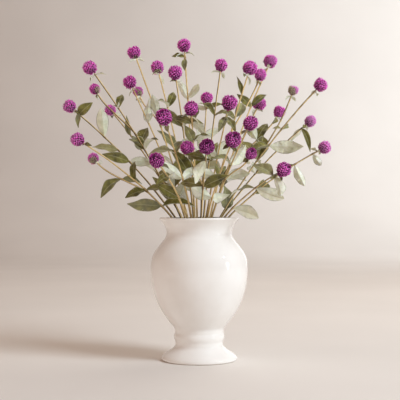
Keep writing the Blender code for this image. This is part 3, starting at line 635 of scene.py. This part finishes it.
def place_leaf(number, share, turn, lift, length, width, side):
    """Keeps one leaf that the frame holds, with the same draw for its roll as the frame's source has."""
    owner = FORKS[number][0] if number in FORKS else number
    path = axes[number][0]
    place = share * (len(path) - 1)
    low = min(int(place), len(path) - 2)
    step = path[low + 1] - path[low]
    root, way = path[low] + step * (place - low), unit(step)
    look = unit(VIEWER * side + way * LOOK_UP) if side else way
    roll = draw.uniform(-LEAF_ROLL, LEAF_ROLL)
    found = found_leaf(owner, root, turn, lift, length)
    if found is not None:
        turn, lift, shrink = found
        ways = leaf_frame(look, turn, lift, roll)
        grown.setdefault(owner, []).append((root, *ways, length * shrink, width * shrink))


corners = {}
for number in HEADS:
    if number not in FORKS:
        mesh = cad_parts[f"leafy_stem_{number:02d}"].data
        flat = np.zeros(len(mesh.vertices) * 3, np.float32)
        mesh.vertices.foreach_get("co", flat)
        corners[number] = np.unique(flat.reshape(-1, 3), axis=0) / MM

draw = random.Random(SEED)
grown = {}
for number in HEADS:
    length = np.linalg.norm(np.diff(axes[number][0], axis=0), axis=1).sum()
    share = 1.0 - BRACT_DROP / length
    turn = draw.uniform(0, 360)
    for opposite in (0, 180):
        lift = draw.uniform(*BRACT_LIFT)
        length, width = draw.uniform(*BRACT_LENGTH), draw.uniform(*BRACT_WIDTH)
        place_leaf(number, share, turn + opposite, lift, length, width, 0)
for number, share, turn, lift, length, width, side, _ in LEAVES:
    place_leaf(number, share, turn, lift, length, width, side)
for number, share, turn, lift, length, width, side, paired in LEAVES:
    if paired:
        turn += 180 + draw.uniform(-MATE_TURN, MATE_TURN)
        lift = max(LOWEST_LIFT, lift / 2 + draw.uniform(-MATE_LIFT, MATE_LIFT))
        size = draw.uniform(*MATE_SIZE)
        side = draw.choice((0, side, -1, 1))
        place_leaf(number, share, turn, lift, length * size, width * size, side)

# Dried leaf: matt and downy, olive above and pale sage below, with pale veins, a tan cast on some
# leaves, brown along parts of the edge, and some light coming through.
blade = new_material("dried_leaf", {"Roughness": 0.6, "Sheen Weight": 0.25, "Sheen Roughness": 0.5,
                                    "Subsurface Weight": 0.25, "Subsurface Radius": (1.0, 0.9, 0.5),
                                    "Subsurface Scale": 0.8 * MM})
leaf = read_mark(blade, "leaf")
mood = read_mark(blade, "mood")
here = add_node(blade, "ShaderNodeTexCoord").outputs["Object"]
mottle = noise(blade, here, 9, 4.0)
above = ramp(blade, mottle, (0.30, "#3c390e"), (0.70, "#86823c"))
below = ramp(blade, mottle, (0.30, "#d2d8c0"), (0.70, "#f2f4e6"))
turned = mixed(blade, leaf["Z"], below, above)
greyed = mixed(blade, mapped(blade, mood["X"], 0.5, 1.0, 0.0, 0.25), turned, "#c6c8ae")
tanned = mixed(blade, mapped(blade, mood["Y"], 0.72, 1.0, 0.0, 0.35), greyed, "#9a8a5c")
off_rib = add_node(blade, "ShaderNodeMath", {0: leaf["X"]}, operation="ABSOLUTE").outputs["Value"]
rib = mapped(blade, off_rib, 0.03, 0.11, 0.36, 0.0)
phase = scaled_sum(blade, off_rib, -0.16, leaf["Y"])
saw = add_node(blade, "ShaderNodeMath", {0: phase, 1: 1 / VEIN_PAIRS}, operation="PINGPONG").outputs["Value"]
vein = mapped(blade, saw, 0.0, 0.022, 0.11, 0.0)
veins = add_node(blade, "ShaderNodeMath", {0: rib, 1: vein}, operation="MAXIMUM").outputs["Value"]
veined = mixed(blade, veins, tanned, "#c6c29d")
rim = scaled_sum(blade, noise(blade, here, 5, 3.0), 0.5, off_rib)
scorched = mixed(blade, mapped(blade, rim, 1.16, 1.32, 0.0, 0.7), veined, "#7a6540")
sunk = relief(blade, veins, -0.15)
crumpled = relief(blade, noise(blade, here, 7, 2.0), 2.4, sunk)
downy = relief(blade, noise(blade, here, 0.7, 2.0), 0.12, crumpled)
drive(blade, Base_Color=scorched, Normal=downy)

spread_draw = np.random.default_rng(SEED)
for number in sorted(grown):
    columns = [np.array(column, float) for column in zip(*grown[number])]
    shape, leaf_marks, mood_marks = leaf_blades(*columns, spread_draw)
    add_piece(f"leaves_{number:02d}", [shape], blade, f"leafy_stem_{number:02d}",
              {"leaf": leaf_marks, "mood": mood_marks})

# The heads: each is a dense globe of small flowers, and what shows of a flower is its pair of papery
# bracts, folded along a keel and pointed, magenta with a paler tip. They sit in spirals on a woody
# core, coloured near-black as painted shade for the deep gaps between them, and the whole head keeps
# its colour when it dries.
HEAD_OFF = np.array((0.36, 0.91, 0.20))
FLOWERS = 108                # pairs of bracts on a head
GOLDEN_TURN = math.pi * (3 - math.sqrt(5))
CORE_SHARE = 0.74            # radius of the core, as a share of the head's
ROOT_SHARE = 0.60            # where a bract starts
HOOK = 0.13                  # how far a point leans to the top of the head, in its upper half
LUMP = 0.03                  # how far a head is out of round
SCALE_WIDTH = 0.140          # half width of a bract, as a share of the head's radius
KEEL = 0.55                  # depth of its fold, as a share of that half width
FLOWER_LOW, FLOWER_SPAN = -0.93, 1.93   # height of the lowest flower, and of them all, in radii
BRACT_REACH = (0.85, 1.03)   # how far out a bract's point lies, as a share of the head's radius
SPLAY = (0.035, 0.065)       # how far each of a pair stands to its side, as a share of the radius
TILT = 0.5                   # how far each of a pair is turned about its length, in radians
YOUNG_SHARE = 0.72           # width of the bracts at the top, as a share of that of the others
BOW = 0.10                   # how far a bract bends to the top of the head, as a share of the radius
DENT_WIDE = 0.10             # one less the cosine of the angle at which a dent has shrunk to a third
LEAFY_BLUR = 0.15            # range of cosines over which a leafy side ends
BRACT_STEPS = np.array((0.0, 0.45, 0.75, 0.95))
BRACT_WIDTHS = np.array((0.60, 0.95, 0.74, 0.36))
BRACT_RING = np.array(((1.0, 0.30), (0.0, -0.45), (-1.0, 0.30), (0.0, -1.0)))
CORE_RINGS, CORE_SIDES, CORE_OPEN = 13, 20, 6   # the rings start this many degrees from the poles

# How far a head has faded, or kept its dark where below 0
FADED = {25: 0.7, 27: 0.45, 18: 0.6, 12: 0.25, 7: 0.4, 10: 0.3, 15: 0.25, 3: 0.2, 4: 0.2, 16: 0.2,
         9: 0.25, 11: 0.3, 6: -0.1, 30: -0.4, 29: -0.3, 31: -0.15, 21: -0.1, 20: -0.1}
# Heads that aren't round: height as a share, how much wider the top is than the middle, the direction of
# a dent, and its depth as a share
SHAPED = {14: (0.96, -0.12, (0, 0, 1), 0.0), 16: (1.10, -0.06, (0, 0, 1), 0.0),
          18: (0.95, 0.15, (-0.1, -0.6, 0.8), 0.15), 19: (1.0, 0.10, (0.35, -0.5, 0.8), 0.24),
          24: (1.04, 0.26, (0.1, -0.5, 0.86), 0.08), 32: (1.0, 0.12, (-0.5, -0.6, 0.6), 0.2),
          12: (0.95, -0.1, (0, 0, 1), 0.0), 7: (1.0, 0.14, (0.4, -0.6, 0.7), 0.1)}
ROUND = (1.0, 0.0, (0, 0, 1), 0.0)
# Heads whose outer bracts are still leafy, or dried tan, on one side: that side's direction, and how
# close to it, as a cosine, that begins
LEAFY = {18: ((-0.8, -0.45, -0.4), 0.0), 12: ((0.0, -0.8, -0.6), 0.6), 4: ((0.1, -0.55, -0.83), 0.74),
         7: ((0.55, -0.75, -0.35), 0.7), 2: ((0.3, -0.4, -0.87), 0.86), 5: ((0.75, -0.55, -0.35), 0.6)}


def head_frame(number):
    """Middle, radius and directions of a head: its top, and two square to it."""
    x, y, z, diameter = HEADS[number]
    way = axes[number][1]
    side = unit(np.cross(way, HEAD_OFF))
    return np.array((x, y, z), float), diameter / 2, way, side, np.cross(way, side)


def bract_rings(number, chance):
    """Rings of every bract of a head, and the marks that their material reads.

    Flowers stand at equal steps of height on a sphere, each a golden turn on from the last. The sphere is
    stretched, tapers with the height, and is drawn in by a bell curve round its dent. A bract runs
    straight from its root inside the core to its point on the globe, which leans to the top. Its ring is
    a folded blade: two edges, a keel on the outer side and the fold's inner line.
    """
    middle, radius, way, side, other = head_frame(number)
    index = np.arange(FLOWERS * 2) // 2
    pair = np.where(np.arange(FLOWERS * 2) % 2, 1.0, -1.0)
    count = len(index)
    rise = FLOWER_LOW + FLOWER_SPAN * (index + 0.5) / FLOWERS + chance.normal(0, 0.010, count)
    rise = rise.clip(-0.97, 0.998)
    flat = np.sqrt(1 - rise ** 2)
    turn = index * GOLDEN_TURN + chance.normal(0, 0.03, count)
    out = (side * np.cos(turn)[:, None] + other * np.sin(turn)[:, None]) * flat[:, None] + way * rise[:, None]
    level = unit(np.cross(way, out))
    up = np.cross(out, level)
    tall, taper, dent_way, dent = SHAPED.get(number, ROUND)
    upright = way * rise[:, None]
    form = (out - upright) * (1 + taper * rise)[:, None] + upright * tall
    near_dent = np.exp((out @ unit(np.array(dent_way, float)) - 1) / DENT_WIDE)
    stretch = (1 + (HEAD_STRETCH - 1) * rise ** 2) * (1 - dent * near_dent)
    lumps = 1 + LUMP * np.cos(2 * turn + chance.uniform(0, math.tau)) + LUMP * flat * np.cos(
        3 * turn + chance.uniform(0, math.tau))
    size = radius * stretch * lumps * chance.uniform(*BRACT_REACH, count)
    splay = level * (radius * pair * chance.uniform(*SPLAY, count))[:, None]
    lean = radius * HOOK * flat * (0.3 + 0.7 * ease(rise + 0.5))
    tip = middle + form * size[:, None] + splay * 1.6 + way * lean[:, None]
    root = middle + form * (radius * ROOT_SHARE) + splay * 0.5 - up * (radius * 0.06)
    along = unit(tip - root)
    across = unit(np.cross(up, along))
    back = np.cross(along, across)
    tilt = pair * TILT + chance.normal(0, 0.22, count)
    across, back = (across * np.cos(tilt)[:, None] + back * np.sin(tilt)[:, None],
                    back * np.cos(tilt)[:, None] - across * np.sin(tilt)[:, None])
    young = YOUNG_SHARE + (1 - YOUNG_SHARE) * ease((1 - rise) / 0.5)
    wide = radius * SCALE_WIDTH * young * chance.uniform(0.85, 1.15, count)
    steps = BRACT_STEPS[None, :, None, None]
    shape = BRACT_WIDTHS[None, :, None, None] * wide[:, None, None, None]
    ring = BRACT_RING[None, None]
    bow = -BOW * radius * np.sin(np.pi * steps)
    rings = (root[:, None, None] + (tip - root)[:, None, None] * steps
             + across[:, None, None] * ring[..., :1] * shape
             + back[:, None, None] * (ring[..., 1:] * shape * KEEL + bow))
    ones = np.ones(rings.shape[:3])
    tone = np.repeat(chance.uniform(0, 1, FLOWERS), 2)[:, None, None]
    marks = np.stack([ones * BRACT_STEPS[:, None], ones * np.abs(BRACT_RING[:, 0]), ones * tone], axis=-1)
    leafy_way, leafy_from = LEAFY.get(number, (UP, 2.0))
    leafy = ease((out @ unit(np.array(leafy_way)) - leafy_from) / LEAFY_BLUR + 0.5)[:, None, None]
    shade_fade_husk = np.stack([ones * (rise * 0.5 + 0.5)[:, None, None], ones * FADED.get(number, 0.0), ones * leafy],
                   axis=-1)
    return rings, marks, shade_fade_husk


def core_rings(number):
    """Rings of the core: circles at even turns from the bottom of the head to its top, tapered like it."""
    middle, radius, way, side, other = head_frame(number)
    angle = np.radians(np.linspace(CORE_OPEN, 180 - CORE_OPEN, CORE_RINGS))[:, None]
    turn = np.arange(CORE_SIDES) * math.tau / CORE_SIDES
    reach = radius * CORE_SHARE
    circle = side * np.cos(turn)[:, None] + other * np.sin(turn)[:, None]
    tall, taper, _, _ = SHAPED.get(number, ROUND)
    return (middle + circle[None] * (reach * np.sin(angle) * (1 - taper * np.cos(angle)))[..., None]
            - way * (reach * HEAD_STRETCH * tall * np.cos(angle))[..., None])[None]


# Papery bract: magenta with a pale, dry lilac point, a slight gloss and light glowing through the thin
# sides. Towards its root it darkens to near-black wine: painted shade for the deep gaps between the
# bracts. Its edges are darker too: painted shade where they tuck under their neighbours.
petal = new_material("papery_magenta_bract", {
    "Roughness": 0.42, "Sheen Weight": 0.6, "Sheen Roughness": 0.45, "Sheen Tint": srgb("#ff80f0"),
    "Subsurface Weight": 0.1, "Subsurface Radius": (1.0, 0.25, 0.7), "Subsurface Scale": 0.6 * MM})
scale = read_mark(petal, "scale")
shade_fade_husk = read_mark(petal, "shade_fade_husk")
# Painted shade: the ramp runs near-black towards the bract's root, for the gaps between bracts.
colour_and_gap_shade = ramp(petal, scale["X"], (0.0, "#1c0113"), (0.47, "#5a053e"), (0.63, "#f222b4"), (0.83, "#ff78e8"),
             (1.0, "#ffdafa"))
varied = mixed(petal, mapped(petal, scale["Z"], 0.35, 0.85, 0.0, 0.6), colour_and_gap_shade, "#7c0858")
# Painted shade: the bract's edges are darkened where they tuck under their neighbours.
edge_shaded = mixed(petal, mapped(petal, scale["Y"], 0.45, 1.0, 0.0, 0.25), varied, "#3c062c")
few = scaled_sum(petal, scale["Z"], 0.5, shade_fade_husk["Y"])
faded = mixed(petal, mapped(petal, few, 0.35, 1.1, 0.0, 0.75), edge_shaded, "#e2addb")
dark = mixed(petal, mapped(petal, few, 0.1, -0.4, 0.0, 0.55), faded, "#5a0a40")
# Painted shade: each head is darkened towards its bottom, by the stem.
shaded = mixed(petal, mapped(petal, shade_fade_husk["X"], 0.05, 0.5, 0.32, 0.0), dark, "#5c0f3c")
husk = ramp(petal, scale["X"], (0.3, "#6b6638"), (1.0, "#cdc9a2"))
drive(petal, Base_Color=mixed(petal, shade_fade_husk["Z"], shaded, husk))

head_draw = np.random.default_rng(SEED + 1)
for number in HEADS:
    rings, marks, shade_fade_husk = bract_rings(number, head_draw)
    core = core_rings(number)
    shapes = [sleeve(rings), sleeve(core)]
    # The core takes the colour at a bract's root: near-black, painted shade for the deep gaps between bracts.
    core_marks = np.zeros((len(shapes[1][0]), 3))
    core_shade_fade_husk = core_marks + (0.5, 0.0, 0.0)
    add_piece(f"globe_head_{number:02d}", shapes, petal, f"flower_head_{number:02d}",
              {"scale": np.concatenate([on_sleeve(marks), core_marks]),
               "shade_fade_husk": np.concatenate([on_sleeve(shade_fade_husk), core_shade_fade_husk])})

# The studio: a pale sweep of painted board under and behind the vase. A broad soft lamp stands to the
# right and a little to the front, two small panes beside it show in the glaze, and the rest is a wash on
# the wall, a lamp over the floor behind, a low warm fill from the left and a warm room all round.
SWEEP_Y, SWEEP_R, SWEEP_TOP = 2.6, 1.6, 4.5   # where the floor ends, the bend's radius, the wall's height
SWEEP_HALF = 5.0
CAMERA_AWAY, CAMERA_Z = 1500.0, 231.0
FOCAL_PIXELS = 1022.8
IMAGE = 400
SENSOR = 36.0
CENTRE_U, CENTRE_V = 199.2, 202.2


def sweep_mesh():
    """Floor and wall as one sheet: a level line, a quarter circle and an upright line, carried along X."""
    flat = np.linspace(-6.0, SWEEP_Y, 20)
    turn = np.linspace(0, np.pi / 2, 33)[1:]
    wall = np.linspace(SWEEP_R, SWEEP_TOP, 8)[1:]
    y = np.concatenate([flat, SWEEP_Y + SWEEP_R * np.sin(turn), np.full(7, SWEEP_Y + SWEEP_R)])
    z = np.concatenate([np.zeros(20), SWEEP_R - SWEEP_R * np.cos(turn), wall])
    x = np.linspace(-SWEEP_HALF, SWEEP_HALF, 2)
    points = np.stack([np.repeat(x, len(y)), np.tile(y, 2), np.tile(z, 2)], axis=1)
    at = np.arange(len(y) - 1)
    faces = np.stack([at, at + len(y), at + len(y) + 1, at + 1], axis=1)
    mesh = bpy.data.meshes.new("sweep")
    mesh.from_pydata(points.tolist(), [], faces.tolist())
    mesh.shade_smooth()
    return mesh


board = new_material("painted_board", {"Roughness": 0.9, "Specular IOR Level": 0.2})
here = add_node(board, "ShaderNodeTexCoord").outputs["Object"]
drive(board, Base_Color=ramp(board, noise(board, here, 500, 2.0), (0.35, "#e4dfda"), (0.65, "#e9e4df")))
sweep = bpy.data.objects.new("sweep", sweep_mesh())
sweep.data.materials.append(board)
bpy.context.scene.collection.objects.link(sweep)


def add_lamp(name, place, target, size, watts, tint, glint=False):
    """Rectangular soft lamp at a place in metres, turned to a target, unseen by the camera.

    tint is its linear red, green and blue. Only a lamp with a glint shows as a reflection.
    """
    lamp = bpy.data.lights.new(name, "AREA")
    lamp.shape, lamp.size, lamp.size_y = "RECTANGLE", *size
    lamp.energy, lamp.color = watts, tint
    holder = bpy.data.objects.new(name, lamp)
    holder.location = place
    holder.rotation_euler = Vector(np.subtract(target, place)).to_track_quat("-Z", "Y").to_euler()
    holder.visible_camera = False
    holder.visible_glossy = glint
    bpy.context.scene.collection.objects.link(holder)


add_lamp("key", (2.6, -1.84, 2.2), (0.0, 0.0, 0.2), (1.45, 1.45), 120.0, (0.835, 0.935, 1.0))
add_lamp("upper_pane", (1.82, -0.72, 1.47), (0.0, 0.0, 0.15), (0.16, 0.18), 2.0, (0.84, 0.94, 1.0), True)
add_lamp("lower_pane", (2.20, -0.78, 0.40), (0.0, 0.0, 0.14), (0.20, 0.60), 3.5, (0.84, 0.94, 1.0), True)
add_lamp("wall_wash", (1.6, 2.5, 1.6), (0.8, 4.2, 1.0), (1.2, 1.4), 28.0, (0.875, 0.96, 1.0))
add_lamp("top", (0.75, 1.0, 1.5), (0.5, 0.8, 0.0), (1.3, 1.0), 11.0, (1.0, 0.98, 0.92))
add_lamp("left_fill", (-1.6, -0.7, 0.24), (0.0, 0.0, 0.15), (0.8, 0.4), 7.0, (1.0, 0.94, 0.90))

world = bpy.data.worlds.new("studio")
world.use_nodes = True
world.node_tree.nodes["Background"].inputs["Color"].default_value = (1.0, 0.62, 0.42, 1.0)
world.node_tree.nodes["Background"].inputs["Strength"].default_value = 0.275
bpy.context.scene.world = world

camera = bpy.data.objects.new("camera", bpy.data.cameras.new("camera"))
camera.location = (0.0, -CAMERA_AWAY * MM, CAMERA_Z * MM)
camera.rotation_euler = (math.pi / 2, 0.0, 0.0)
camera.data.sensor_width = SENSOR
camera.data.lens = SENSOR * FOCAL_PIXELS / IMAGE
camera.data.shift_x = (IMAGE / 2 - CENTRE_U) / IMAGE
camera.data.shift_y = (CENTRE_V - IMAGE / 2) / IMAGE
camera.data.clip_end = 50.0
bpy.context.scene.collection.objects.link(camera)
bpy.context.scene.camera = camera
bpy.context.scene.view_settings.view_transform = "Standard"
